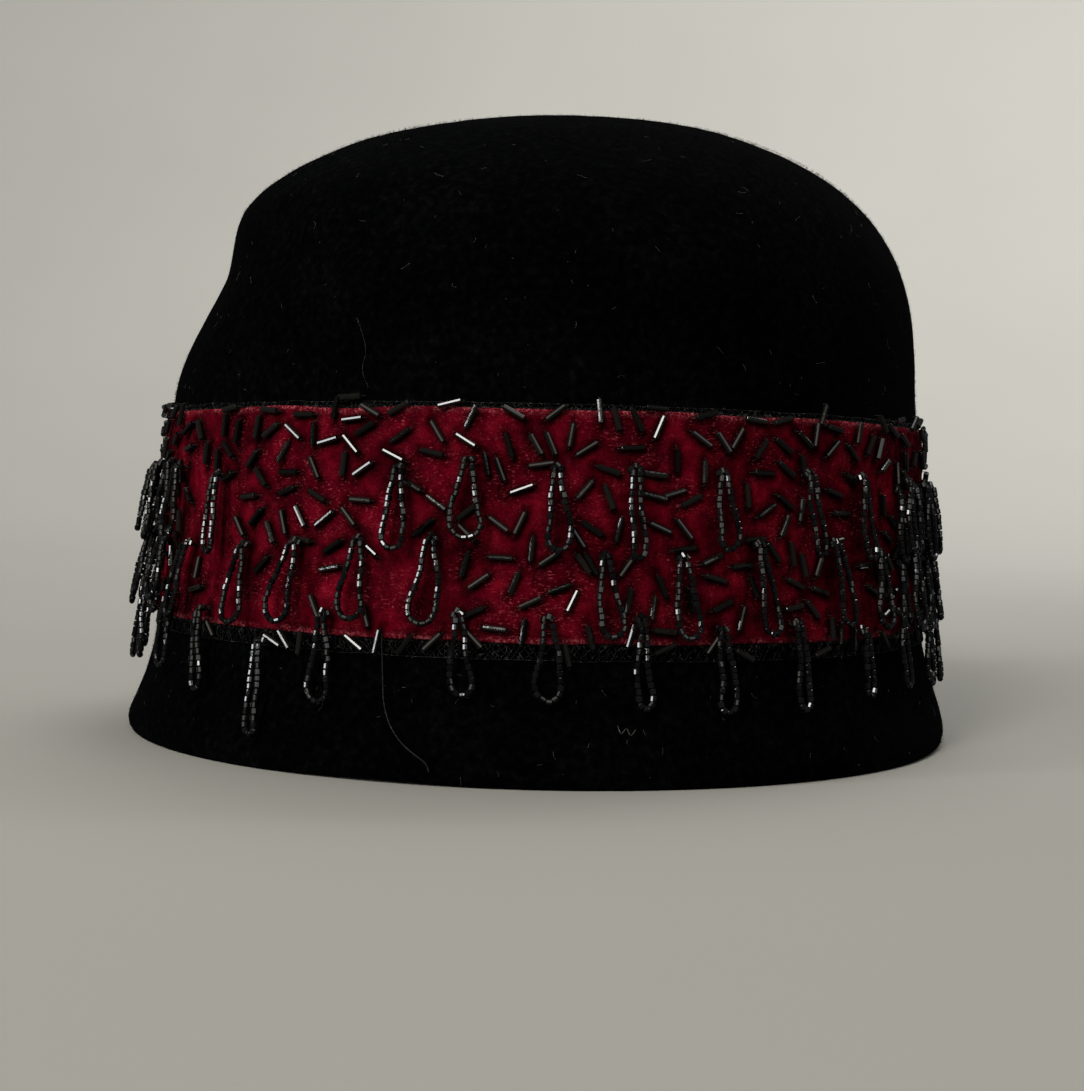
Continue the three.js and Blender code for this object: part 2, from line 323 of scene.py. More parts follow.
def object_place(nodes):
    return nodes.new("ShaderNodeTexCoord").outputs["Object"]


def felt_material():
    m, nodes, links, p = new_material("black_velour_felt")
    where = object_place(nodes)
    broad = noise(nodes, links, where, 42, 4)
    pile = noise(nodes, links, where, 2600, 2)
    tufts = noise(nodes, links, where, 620, 3)
    tone = math_node(nodes, links, "ADD", math_node(nodes, links, "MULTIPLY", broad, 0.3), math_node(nodes, links, "MULTIPLY", tufts, 0.7))
    base = ramp(nodes, links, tone, [(0.38, (0.0002, 0.0003, 0.0003)), (0.51, (0.0008, 0.0009, 0.0010)), (0.61, (0.0020, 0.0021, 0.0022)), (0.72, (0.0046, 0.0046, 0.0045))])
    dust = noise(nodes, links, where, 880, 1)
    specks = ramp(nodes, links, dust, [(0.80, (0, 0, 0)), (0.86, (0.35, 0.35, 0.35))])
    links.new(mix(nodes, links, specks, base, (0.016, 0.016, 0.016)), p.inputs["Base Color"])
    p.inputs["Roughness"].default_value = 0.95
    p.inputs["Specular IOR Level"].default_value = 0.008
    p.inputs["Sheen Weight"].default_value = 0.008
    p.inputs["Sheen Roughness"].default_value = 0.42
    p.inputs["Sheen Tint"].default_value = (0.62, 0.66, 0.66, 1)
    first = bump(nodes, links, tufts, 0.55, 0.0006)
    links.new(bump(nodes, links, pile, 0.6, 0.00025, first), p.inputs["Normal"])
    return m


def velvet_material():
    m, nodes, links, p = new_material("red_velvet_ribbon")
    where = object_place(nodes)
    broad = noise(nodes, links, where, 95, 3)
    pile = noise(nodes, links, where, 2300, 2)
    nap = noise(nodes, links, where, 420, 3)
    crush_and_painted_shade = attribute(nodes, "crush_and_painted_shade")
    edge = attribute(nodes, "edge")
    tone = math_node(nodes, links, "ADD", math_node(nodes, links, "MULTIPLY", broad, 0.55), math_node(nodes, links, "MULTIPLY", nap, 0.25))
    tone = math_node(nodes, links, "ADD", tone, math_node(nodes, links, "MULTIPLY", pile, 0.20))
    base = ramp(nodes, links, tone, [(0.38, (0.032, 0.0002, 0.0026)), (0.50, (0.110, 0.0008, 0.0080)), (0.62, (0.222, 0.0034, 0.0150))])
    # near-black velvet where the attribute says so: random darker patches of the pile, plus painted shade (painted
    # contact shadow) round each bead and under and inside each loop
    base = mix(nodes, links, crush_and_painted_shade, base, (0.0045, 0.0001, 0.0005))
    threads = noise(nodes, links, where, 1900, 2)
    patches = noise(nodes, links, where, 160, 2)
    # the satin selvedge at the ribbon's edges, in patches: partly its own lighter red, and partly a painted highlight
    # (the bright pink)
    selvedge_and_painted_highlight = ramp(nodes, links, threads, [(0.40, (0.09, 0.003, 0.007)), (0.52, (0.22, 0.018, 0.030)), (0.66, (0.46, 0.12, 0.13))])
    selvedge_highlight_mask = math_node(nodes, links, "MULTIPLY", edge, ramp(nodes, links, patches, [(0.40, (0.10, 0.10, 0.10)), (0.54, (1, 1, 1))]))
    base = mix(nodes, links, selvedge_highlight_mask, base, selvedge_and_painted_highlight)
    dust = noise(nodes, links, where, 2700, 1)
    dusty = ramp(nodes, links, noise(nodes, links, where, 210, 3), [(0.45, (0, 0, 0)), (0.66, (1, 1, 1))])
    specks = math_node(nodes, links, "MULTIPLY", dusty, ramp(nodes, links, dust, [(0.57, (0, 0, 0)), (0.74, (0.45, 0.45, 0.45))]))
    base = mix(nodes, links, specks, base, (0.26, 0.045, 0.050))
    level = nodes.new("ShaderNodeMapping")
    links.new(where, level.inputs["Vector"])
    level.inputs["Scale"].default_value = (1, 1, 2.6)
    flecks = math_node(nodes, links, "MULTIPLY", ramp(nodes, links, noise(nodes, links, level.outputs["Vector"], 1150, 1), [(0.60, (0, 0, 0)), (0.72, (0.6, 0.6, 0.6))]),
                       ramp(nodes, links, noise(nodes, links, where, 120, 2), [(0.46, (0, 0, 0)), (0.62, (1, 1, 1))]))
    links.new(mix(nodes, links, flecks, base, (0.40, 0.055, 0.070)), p.inputs["Base Color"])
    rough = math_node(nodes, links, "SUBTRACT", 0.88, math_node(nodes, links, "MULTIPLY", edge, 0.35))
    links.new(rough, p.inputs["Roughness"])
    p.inputs["Specular IOR Level"].default_value = 0.012
    p.inputs["Sheen Weight"].default_value = 0.010
    p.inputs["Sheen Roughness"].default_value = 0.35
    p.inputs["Sheen Tint"].default_value = (1.0, 0.12, 0.16, 1)
    first = bump(nodes, links, nap, 0.7, 0.0008)
    links.new(bump(nodes, links, pile, 0.65, 0.0003, first), p.inputs["Normal"])
    return m


def net_material():
    m, nodes, links, p = new_material("black_net")
    where = object_place(nodes)
    fine = noise(nodes, links, where, 1300, 2)
    # sparse pale dots on the black threads are painted glints
    links.new(ramp(nodes, links, fine, [(0.48, (0.0010, 0.0010, 0.0010)), (0.58, (0.008, 0.0078, 0.0075)), (0.66, (0.060, 0.058, 0.056))]), p.inputs["Base Color"])
    p.inputs["Roughness"].default_value = 0.5
    p.inputs["Specular IOR Level"].default_value = 0.2
    links.new(bump(nodes, links, fine, 0.4, 0.0001), p.inputs["Normal"])
    return m


def glass_material(name, low, high, rough, scratch):
    m, nodes, links, p = new_material(name)
    where = object_place(nodes)
    shade = attribute(nodes, "shade")
    links.new(ramp(nodes, links, shade, [(0.0, low), (1.0, high)]), p.inputs["Base Color"])
    wear = noise(nodes, links, where, 1500, 3)
    links.new(ramp(nodes, links, wear, [(0.3, (rough,) * 3), (0.7, (rough + scratch,) * 3)]), p.inputs["Roughness"])
    p.inputs["IOR"].default_value = 1.53
    links.new(bump(nodes, links, noise(nodes, links, where, 1100, 2), 0.15, 0.0001), p.inputs["Normal"])
    return m


def thread_material(name, low, high, pale):
    m, nodes, links, p = new_material(name)
    where = object_place(nodes)
    fine = noise(nodes, links, where, 2500, 2)
    # pale specks where the noise is high: lint's own paler tone, and on the black sewing thread painted glints
    links.new(ramp(nodes, links, fine, [(0.35, low), (0.64, high), (0.74, pale)]), p.inputs["Base Color"])
    p.inputs["Roughness"].default_value = 0.7
    p.inputs["Specular IOR Level"].default_value = 0.3
    p.inputs["Sheen Weight"].default_value = 0.1
    links.new(bump(nodes, links, fine, 0.4, 0.0001), p.inputs["Normal"])
    return m


FELT = felt_material()
VELVET = velvet_material()
NET_THREAD = net_material()
BUGLE_GLASS = glass_material("black_bugle_glass", (0.0012, 0.0012, 0.0010), (0.0120, 0.0113, 0.0090), 0.06, 0.06)
SEED_GLASS = glass_material("black_seed_glass", (0.0010, 0.0011, 0.0012), (0.0075, 0.0080, 0.0078), 0.04, 0.05)
# the sewing thread's pale specks are painted glints at the bead ends
SEWING = thread_material("black_sewing_thread", (0.003, 0.003, 0.003), (0.016, 0.015, 0.014), (0.075, 0.052, 0.048))
LINT = thread_material("pale_lint", (0.02, 0.02, 0.019), (0.10, 0.096, 0.09), (0.30, 0.29, 0.28))


def finish_piece(o, slot, *nodes):
    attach(o, "root")
    if nodes:
        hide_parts(*nodes)
    return o


# ---------------------------------------------------------------- felt
AZ_FELT = 372
RIM_ROUND = 1.25   # half of the felt's thickness, at the rounded rim


def felt_soft(azimuth, z):
    """Small unevenness of the blocked felt, in millimetres along its normal: none under the band's upper part."""
    over = np.clip((z - 78) / 14, 0, 1) * np.clip((150 - z) / 12, 0, 1)
    under = np.clip((22 - z) / 10, 0, 1)
    return 0.28 * waves(11, azimuth, z, (2, 7), 0.09) * (over + 0.8 * under) + 0.05 * waves(12, azimuth, z, (20, 60), 0.8) * over


def rim_lift(azimuth):
    """How far the soft rim stands off the surface it rests on, round the hat; 0 where it touches."""
    def bump_at(centre, spread, rise):
        return rise * np.exp(-(((azimuth - centre + 180) % 360 - 180) / spread) ** 2)
    return bump_at(-19, 11, 0.5) + bump_at(76, 13, 0.6) + bump_at(141, 16, 0.45) + bump_at(-150, 20, 0.5) + bump_at(-97, 9, 0.25)


def make_felt():
    az = np.arange(AZ_FELT) * 360 / AZ_FELT
    u = np.linspace(0, LAST, 4001)
    profile = surface(0, u)
    s = np.concatenate([[0], np.cumsum(np.linalg.norm(np.diff(profile, axis=0), axis=1))])
    start = np.interp(along(RIM_ROUND), u, s)
    outer_u = np.interp(np.linspace(start, s[-1], 158), s, u)[:-1]
    inner_u = np.interp(np.linspace(start, s[-1], 44), s, u)[:-1]
    rings = []
    # inside, from the top down; the top's pole comes first
    for v in inner_u[::-1]:
        p = surface(az, v) - outward(az, v) * FELT_WALL
        rings.append(p)
    # the rounded rim, from the inside out
    n = outward(az, along(RIM_ROUND)).copy()
    n[:, 2] = 0
    n = unit(n)
    edge = surface(az, along(RIM_ROUND))
    for t in np.linspace(0, math.pi, 13)[1:-1]:
        c, sn = math.cos(t), math.sin(t)
        sq = 0.72
        across = math.copysign(abs(c) ** sq, c)
        down = abs(sn) ** sq
        p = edge - n * (RIM_ROUND * (1 + across))
        p = p.copy()
        p[:, 2] = RIM_ROUND * (1 - down)
        rings.append(p)
    for v in outer_u:
        z = float(height(v))
        p = surface(az, v) + outward(az, v) * felt_soft(az, z)[:, None]
        rings.append(p)
    points = np.array(rings)
    points[:, :, 2] += rim_lift(az)[None] * np.exp(-points[:, :, 2] / 9.0)
    points = points.reshape(-1, 3)
    top = surface(0, LAST)
    inside_top = top - np.array([0, 0, FELT_WALL])
    vertices = np.concatenate([points, [inside_top], [top]])
    quads = grid_faces(len(rings), AZ_FELT)
    k = np.arange(AZ_FELT)
    n2 = (k + 1) % AZ_FELT
    a, b = len(points), len(points) + 1
    first = np.stack([np.full(AZ_FELT, a), n2, k], -1)
    last = (len(rings) - 1) * AZ_FELT
    end = np.stack([last + k, last + n2, np.full(AZ_FELT, b)], -1)
    o = mesh_object("felt", vertices, [quads, np.concatenate([first, end])], FELT)
    return finish_piece(o, "felt", "felt_body")


def make_pile():
    """Short fibres that stand off the felt and soften its outline."""
    rng = np.random.default_rng(23)
    count = 42000
    z_low = rng.uniform(1.0, 27.5, 9000)
    z_high = rng.uniform(74.0, 128, 24000)
    u = np.concatenate([along(z_low), along(z_high)])
    cap = count - len(u)
    # the crown's top, even over its area: the rows above height 128
    u_top = np.sqrt(rng.uniform(0, 1, cap))
    u_top = LAST - u_top * (LAST - along(128.0))
    u = np.concatenate([u, u_top])
    az = rng.uniform(0, 360, count)
    p = surface(az, u)
    n = outward(az, u)
    around = unit(np.cross(np.array([0, 0, 1.0]), n) + 1e-6)
    up = np.cross(n, around)
    lean = rng.normal(0, 0.45, (count, 2))
    direction = unit(n + around * lean[:, :1] + up * (lean[:, 1:] - 0.25))
    length = rng.uniform(0.35, 0.85, count)
    base = p + n * -0.05
    spin = rng.uniform(0, 2 * math.pi, count)
    r = 0.045
    v = [base + (around * np.cos(spin + k * 2.0944)[:, None] + up * np.sin(spin + k * 2.0944)[:, None]) * r for k in range(3)]
    tip = base + direction * length[:, None]
    points = np.stack([*v, tip], 1)
    keep = points[:, :, 2].min(1) > 0.05
    points = points[keep]
    i = (np.arange(len(points)) * 4)[:, None, None]
    faces = np.array([[0, 2, 1], [0, 1, 3], [1, 2, 3], [2, 0, 3]])[None] + i
    o = mesh_object("felt_pile", points.reshape(-1, 3), faces.reshape(-1, 3), FELT)
    return finish_piece(o, "felt")


# ---------------------------------------------------------------- places of the bugle beads
# azimuth, height and turn from level of the beads on the front
CHART = """
    -64.6 61.5 82; -63.9 52.7 -23; -58.1 70.5 28; -57.4 55.6 -37; -57.4 66.2 11; -54 70 -59; -52.8 39.8 89; -52.7 35.3 13; -51.8 64.9 76; -48.9 63.5 79;
    -47.8 27.1 -46; -47.3 70.9 80; -46.4 60 19; -46.3 65.6 -41; -46 74.4 10; -44.3 69.5 81; -43.1 49.3 -52; -41.6 55.8 6; -41 63.8 45; -40.2 70.4 82;
    -39.9 51.6 45; -39.3 59.9 -48; -38.4 41.7 41; -38 73.9 -5; -37.7 69.7 33; -37.2 48.4 -61; -35.3 65.3 63; -35.2 26 -23; -34.9 50.6 -74; -34.5 57.3 19;
    -34.3 61.1 1; -33.7 69.4 -36; -33.3 26.4 -46; -32.2 52 -59; -31.9 72.9 1; -31.7 47.2 -6; -30.9 26 87; -30.4 68.9 89; -30.2 62 -64; -29.6 56.3 -27;
    -29.1 33.7 -62; -28.3 51.7 39; -28.1 67.6 16; -27.1 41.7 11; -27.1 74.3 79; -26.9 46.1 31; -25.8 62.9 84; -24.9 76.5 4; -24.8 52.2 -45;
    -24.8 66.9 -46; -24.6 72 7; -23.2 55.7 -3; -23 26.8 -34; -23 62 34; -22.8 70.1 32; -22.1 73.8 -28; -21.8 46 -38; -21.7 32.5 -72; -19.9 27.3 83;
    -18.9 64.8 -25; -18.3 74.3 29; -18 68.8 33; -16.4 59 -28; -16.3 27.1 51; -14.7 50.6 39; -13.9 65.5 -11; -13.2 55.5 -34; -13.2 69.7 -57;
    -12.9 27.9 44; -11.7 75.3 15; -9.6 68 -31; -9.4 53.8 38; -9.3 43.4 76; -9.2 49.7 -42; -9 72.8 63; -8.1 34 25; -7.9 28.7 -44; -7.5 40.1 36;
    -7.1 63.4 -78; -5.4 30.9 -5; -5.4 51.6 -35; -5.4 62.4 -69; -5 45 -2; -4.3 67.1 -72; -3.8 73.7 -29; -3.2 40.1 67; -2.8 51.9 66; -2.7 58.6 20;
    -2 30.4 84; -1.3 46.8 85; -1.2 36.2 25; -1.1 67.5 -60; -0.4 63.6 9; 0.7 67.7 -67; 0.9 45 35; 1.3 73.8 38; 2.2 39.1 21; 3.2 26 -77; 3.2 69.5 81;
    3.8 36.7 67; 4.2 49.3 -56; 4.9 58.8 49; 5 44.2 -53; 5.1 66.9 33; 5.9 51.2 -32; 6 29.5 -75; 6 44.1 -58; 6.7 74.4 -84; 7.8 62.8 -17; 7.9 57.4 -69;
    8.7 73 -74; 9.2 51 78; 10.3 43.8 55; 10.6 36.9 79; 10.7 67.3 4; 11 30 75; 11.3 72.8 -64; 13.6 57.8 -13; 13.6 62.1 -6; 13.7 35.5 80; 13.8 75.3 -3;
    14.1 71.5 67; 14.3 51.6 -23; 14.8 39.8 -66; 15.1 27.3 23; 15.1 30.9 -6; 16.1 58.5 17; 16.4 65 -88; 17.4 51.4 -51; 17.6 47.4 8; 18.3 57.1 27;
    18.4 37.1 -78; 19.6 69.5 -34; 20.1 62.9 -89; 20.3 74.3 14; 21.3 45.4 24; 21.5 28.3 53; 21.8 41.5 -15; 22.6 69 -54; 22.7 36 25; 24.6 69.8 58;
    25.4 33.4 75; 25.5 44.1 6; 25.7 26 -27; 26.2 58.3 -84; 27.2 39.9 -71; 27.3 73.7 -7; 27.4 49.5 4; 28.1 67.8 54; 28.5 63.1 -1; 29 55.4 32; 30.2 47 -53;
    31.5 73.9 14; 31.6 68.8 -36; 31.9 57.3 -33; 32 52.3 65; 32.1 64 -36; 33.2 46.5 -80; 33.5 35.5 10; 33.8 40.5 -23; 34.7 55.6 81; 34.9 64.5 -79;
    35.2 44.2 -76; 35.2 70.2 -39; 36.6 35.1 -45; 37.2 71.3 80; 37.9 26 18; 37.9 43.9 65; 38.1 38.8 -16; 38.6 75.5 63; 40.1 30.8 -89; 40.2 68.6 43;
    40.6 59.4 -15; 40.8 72.9 -11; 41 49.1 10; 41.7 29.7 74; 42.2 55.1 -1; 44.2 62.5 -25; 44.5 68 -44; 44.7 28.1 82; 46 72.2 70; 47.5 44 4; 48.8 69.8 57;
    49.6 38.6 -22; 51.1 42.6 -62; 51.2 69.2 65; 51.8 27.6 -44;
"""
BUGLE = {"length": 4.75, "radius": 0.60, "hole": 0.24, "out": 1.86}


def apart(a, b, others_a, others_b):
    """Least distance from segment ab to each of the others, in a plane."""
    def to_segment(p, q, r):
        d = r - q
        t = np.clip(((p - q) * d).sum(-1) / np.maximum((d * d).sum(-1), 1e-9), 0, 1)
        return np.linalg.norm(p - q - d * t[..., None], axis=-1)
    best = np.minimum(to_segment(a, others_a, others_b), to_segment(b, others_a, others_b))
    best = np.minimum(best, to_segment(others_a, a, b))
    best = np.minimum(best, to_segment(others_b, a, b))
    for s in (0.25, 0.5, 0.75):
        best = np.minimum(best, to_segment(a + (b - a) * s, others_a, others_b))
    return best


def bugle_places():
    rows = [[float(v) for v in item.split()] for item in CHART.replace("\n", " ").split(";") if item.strip()]
    rng = np.random.default_rng(31)
    per_degree = 1.66   # mm round the band in one degree
    half = BUGLE["length"] / 2

    def ends(az, z, turn):
        d = np.array([math.cos(math.radians(turn)), math.sin(math.radians(turn))]) * half
        c = np.array([az * per_degree, z])
        return c - d, c + d

    placed = [ends(*r) for r in rows]
    tries = 0
    extra = []
    while len(extra) < 520 and tries < 60000:
        tries += 1
        az = rng.uniform(-180, 180)
        if -60 < az < 52:
            continue
        z = rng.uniform(26.4, 76.2)
        turn = rng.uniform(-90, 90)
        if z > 74.4 or z < 28.0:
            turn *= 0.6
        a, b = ends(az, z, turn)
        oa = np.array([q[0] for q in placed])
        ob = np.array([q[1] for q in placed])
        around = np.round(((oa + ob)[:, 0] / 2 - az * per_degree) / (360 * per_degree))[:, None] * [360 * per_degree, 0]
        oa, ob = oa - around, ob - around
        near = np.abs((oa + ob)[:, 0] / 2 - az * per_degree) < 9
        if near.any() and apart(a, b, oa[near], ob[near]).min() < 1.75:
            continue
        centres = (oa[near] + ob[near]) / 2
        if near.any() and np.linalg.norm(centres - np.array([az * per_degree, z]), axis=1).min() < 3.9:
            continue
        placed.append((a, b))
        extra.append([az, z, turn])
    return np.array(rows + extra)


def bead_form(length, radius, hole, bevel, sides=10):
    """A cut tube with a hole, or with none for beads that lie end to end, along X; at roll 0 an edge of its 10 sides faces out."""
    rings = [(-length / 2, radius - bevel), (-length / 2 + bevel, radius), (length / 2 - bevel, radius), (length / 2, radius - bevel)]
    if hole:
        rings = [(-length / 2, hole), *rings, (length / 2, hole)]
    a = (np.arange(sides) + 0.5) * 2 * math.pi / sides
    points = np.concatenate([np.stack([np.full(sides, x), r * np.cos(a), r * np.sin(a)], -1) for x, r in rings])
    if hole:
        return points, [grid_faces(len(rings), sides, closed_rows=True)[:, ::-1]]
    k = np.arange(1, sides - 1)
    last = (len(rings) - 1) * sides
    caps = np.concatenate([np.stack([0 * k, k, k + 1], -1)[:, ::-1], np.stack([last + 0 * k, last + k, last + k + 1], -1)])
    return points, [grid_faces(len(rings), sides)[:, ::-1], caps]


def placed_beads(name, centres, axes, normals, rolls, scales, form, material, shades):
    """Copies of a bead: centres, axes along their holes, the way out, roll about the axis and a scale (length, width)."""
    points, groups = form
    side = unit(np.cross(axes, normals))
    other = np.cross(axes, side)
    c, s = np.cos(rolls)[:, None], np.sin(rolls)[:, None]
    y, z = side * c + other * s, other * c - side * s
    v = centres[:, None] + (axes[:, None] * points[None, :, :1] * scales[:, None, :1]
                            + y[:, None] * points[None, :, 1:2] * scales[:, None, 1:]
                            + z[:, None] * points[None, :, 2:] * scales[:, None, 1:])
    shift = (np.arange(len(centres)) * len(points))[:, None, None]
    faces = [(g[None] + shift).reshape(-1, g.shape[1]) for g in groups]
    return mesh_object(name, v.reshape(-1, 3), faces, material, smooth=False,
                       values={"shade": np.repeat(shades, len(points))})


PLACES = bugle_places()
FRONT = np.array([0, -445.0, 58.5])      # where the hat is looked at from
KEY = np.array([-850.0, -1850, 1350])    # the two small bright lights
WINDOW = np.array([-1600.0, -850, 550])


def halfway(p, light):
    return unit(unit(FRONT - p) + unit(light - p))


def facet_roll(axes, normals, half, sides=10):
    """The roll, within one facet's step, that turns a facet towards half."""
    side = unit(np.cross(axes, normals))
    other = np.cross(axes, side)
    angle = np.arctan2((half * other).sum(-1), (half * side).sum(-1))
    step = 2 * math.pi / sides
    return (angle + step / 2) % step - step / 2


def bugle_axes():
    rng = np.random.default_rng(37)
    az, z, turn = PLACES.T
    around, up, n = tangents(az, z)
    t = np.radians(turn)[:, None]
    tilt = rng.normal(0, 0.05, len(az))[:, None]
    axis = unit(around * np.cos(t) + up * np.sin(t) + n * tilt)
    out = BUGLE["out"] + rng.uniform(0, 0.22, len(az))
    centres = off(az, z, out)
    rolls = rng.uniform(-0.52, 0.52, len(az))
    # some lie so that a facet shines
    for light, within, share in ((KEY, 0.13, 0.26), (WINDOW, 0.12, 0.30)):
        half = halfway(centres, light)
        lean = (axis * half).sum(-1)
        shines = (np.abs(lean) < within) & (rng.uniform(0, 1, len(az)) < share)
        axis[shines] = unit(axis - half * lean[:, None])[shines]
        rolls[shines] = (facet_roll(axis, n, half) + rng.normal(0, 0.030, len(az)))[shines]
    return centres, axis, n, rolls


BUGLE_CENTRES, BUGLE_AXES, BUGLE_NORMALS, BUGLE_ROLLS = bugle_axes()


def make_bugles():
    rng = np.random.default_rng(41)
    count = len(PLACES)
    scales = np.stack([rng.normal(1, 0.025, count), rng.normal(1, 0.03, count)], -1)
    form = bead_form(BUGLE["length"], BUGLE["radius"], BUGLE["hole"], 0.08)
    o = placed_beads("bugles", BUGLE_CENTRES, BUGLE_AXES, BUGLE_NORMALS, BUGLE_ROLLS, scales, form,
                     BUGLE_GLASS, rng.uniform(0, 1, count))
    return finish_piece(o, "bugle_glass", "bugle_beads")


# ---------------------------------------------------------------- loops of seed beads
# row, azimuth and height of the stitch, length, width, and lean of the lower end towards +X
FRONT_LOOPS = [
    (1, -47.5, 60.2, 17.1, 4.4, 1.3), (1, -17.8, 62.2, 16.7, 6.0, 0.1), (1, -9.1, 63.9, 15.9, 7.6, 0.0),
    (1, 1.5, 62.5, 16.4, 5.9, 0.7), (1, 10.9, 62.9, 18.0, 3.7, 0.6), (1, 22.1, 62.6, 15.8, 5.4, 0.7),
    (1, 35.2, 63.1, 17.4, 4.0, 1.9),
    (2, -54.7, 44.9, 16.8, 3.8, -2.0), (2, -41.3, 45.3, 16.8, 6.6, -0.3), (2, -32.2, 46.5, 17.0, 7.4, -2.4),
    (2, -22.9, 47.5, 16.4, 6.8, 0.1), (2, -13.3, 48.2, 17.4, 7.3, -0.9), (2, 7.5, 45.4, 16.3, 5.9, 1.4),
    (2, 17.1, 45.4, 16.4, 5.8, 0.7), (2, 27.6, 48.2, 18.6, 5.3, 1.8), (2, 40.0, 48.6, 17.6, 5.1, 2.6),
    (3, -49.3, 30.7, 17.6, 3.9, 2.2), (3, -36.6, 25.4, 19.6, 4.2, 2.0), (3, -27.1, 32.0, 18.0, 6.5, 0.3),
    (3, -9.7, 33.4, 16.4, 5.7, 1.4), (3, 0.9, 32.7, 16.3, 6.4, 0.4), (3, 11.9, 33.0, 17.8, 4.3, 0.6),
    (3, 22.3, 31.0, 16.9, 4.8, 0.5), (3, 33.3, 31.9, 18.0, 3.7, 0.6), (3, 45.6, 29.6, 14.0, 3.6, 0.8),
]
# row, from and to azimuth, usual height of the stitch, out from the felt at the lower end
LOOP_ROWS = {1: ("loops_top", 47, 302, 62.5, 5.5), 2: ("loops_middle", 51, 296, 46.8, 5.5), 3: ("loops_bottom", 57, 300, 32.2, 2.4)}
LOOP_TOP_OUT = 3.9
LOOP_BEAD = 1.1    # thickness of a string where the loops' outlines are measured
SEED = {"length": 1.20, "pitch": 1.34, "radius": 0.66}


def shares(seed):
    s = seed
    while True:
        s = (s * 16807) % 2147483647
        yield s / 2147483647


def row_loops(row):
    _, start, stop, top, _ = LOOP_ROWS[row]
    loops = [l[1:] for l in FRONT_LOOPS if l[0] == row]
    share = shares(4177 + row)
    count = round((stop - start) / 10.6)
    for i in range(count + 1):
        azimuth = start + (stop - start) * i / count + (next(share) - 0.5) * 3
        height_ = top + (next(share) - 0.5) * 2.4
        length = 16.8 + (next(share) - 0.5) * 2.2
        width = 6.2 + (next(share) - 0.5) * 3
        lean = (next(share) - 0.5) * 2.4
        loops.append((azimuth, height_, length, width, lean))
    return sorted(loops, key=lambda l: l[0] % 360)


def side_loops(row):
    """Shorter strings that lie under the outer ones at the hat's two sides."""
    top = LOOP_ROWS[row][3]
    share = shares(911 + row)
    return [(azimuth + (next(share) - 0.5) * spread, top - 1 + (next(share) - 0.5) * 3, 15.5 + (next(share) - 0.5) * 2, 5.5, (next(share) - 0.5) * lean)
            for places, spread, lean in (((-63, -73, -83, -93), 4, 3), ((57, 63.5, 70, 76.5, 83, 89.5), 1.2, 1.6)) for azimuth in places]


def loop_frame(loop, out_below, closer=0.0):
    azimuth, top, length, _, lean = loop
    # the strings on the hat's left side stand further off the band
    left = math.exp(-(((azimuth + 86 + 180) % 360 - 180) / 20) ** 2)
    stitch = off(azimuth, top, LOOP_TOP_OUT + 0.9 * left - closer)
    end = off(azimuth + math.degrees(lean / 96), top - length, out_below + 2.0 * left - closer * 1.6)
    y = unit(stitch - end)
    n = outward(azimuth, along(top))
    z = unit(n - y * (n @ y))
    return stitch, np.cross(y, z), y, z


def loop_path(loop, frame_, rng):
    """The string of a loop as a fine line, down one side and up the other, from stitch to stitch."""
    _, _, length, width, _ = loop
    stitch, x, y, z = frame_
    reach = length - LOOP_BEAD / 2
    wide = (width - SEED["radius"] * 2) / 2
    bottom = 1 - min(1.05 * wide / reach + 0.02, 0.3)     # where the round lower end begins
    t = 1 - (1 - np.linspace(0.0, 1.0, 120)) ** 1.6
    t[-1] = 1.0
    rise = np.clip(t / bottom, 0, 1)
    rise = (3 * rise ** 2 - 2 * rise ** 3) * 0.35 + rise ** rng.uniform(0.75, 1.15) * 0.65
    fall = np.sqrt(np.clip(1 - ((t - bottom) / (1 - bottom)).clip(0, 1) ** 2, 0, 1))
    least = rng.uniform(0.52, 0.72)
    half = np.where(t < bottom, least + (wide - least) * rise, wide * fall)
    depth = rng.normal(0, 0.28, 2)
    phase = rng.uniform(0, 6.3, 2)
    sway = 0.26 * np.sin(t * 5 + phase[0]) + 0.20 * np.sin(t * 9 + phase[1])
    swing = np.sin(math.pi * t) ** 0.6
    left = [stitch + x * (-h + s * w) + y * (-reach * q) + z * (d * w) for h, s, q, d, w in zip(half, sway, t, depth[0] * np.ones(120) + sway * 0.4, swing)]
    right = [stitch + x * (h + s * w) + y * (-reach * q) + z * (d * w) for h, s, q, d, w in zip(half, sway, t, depth[1] * np.ones(120) - sway * 0.4, swing)]
    # the round bottom: both sides meet in a low arc
    path = np.array(left + right[::-1])
    for _ in range(8):
        path[1:-1] = (path[:-2] + 2 * path[1:-1] + path[2:]) / 4
    return path


def evenly(path, pitch):
    steps = np.linalg.norm(np.diff(path, axis=0), axis=1)
    s = np.concatenate([[0], np.cumsum(steps)])
    count = int(s[-1] // pitch)
    at = (s[-1] - (count - 1) * pitch) / 2 + np.arange(count) * pitch
    return np.stack([np.interp(at, s, path[:, k]) for k in range(3)], -1), s[-1]


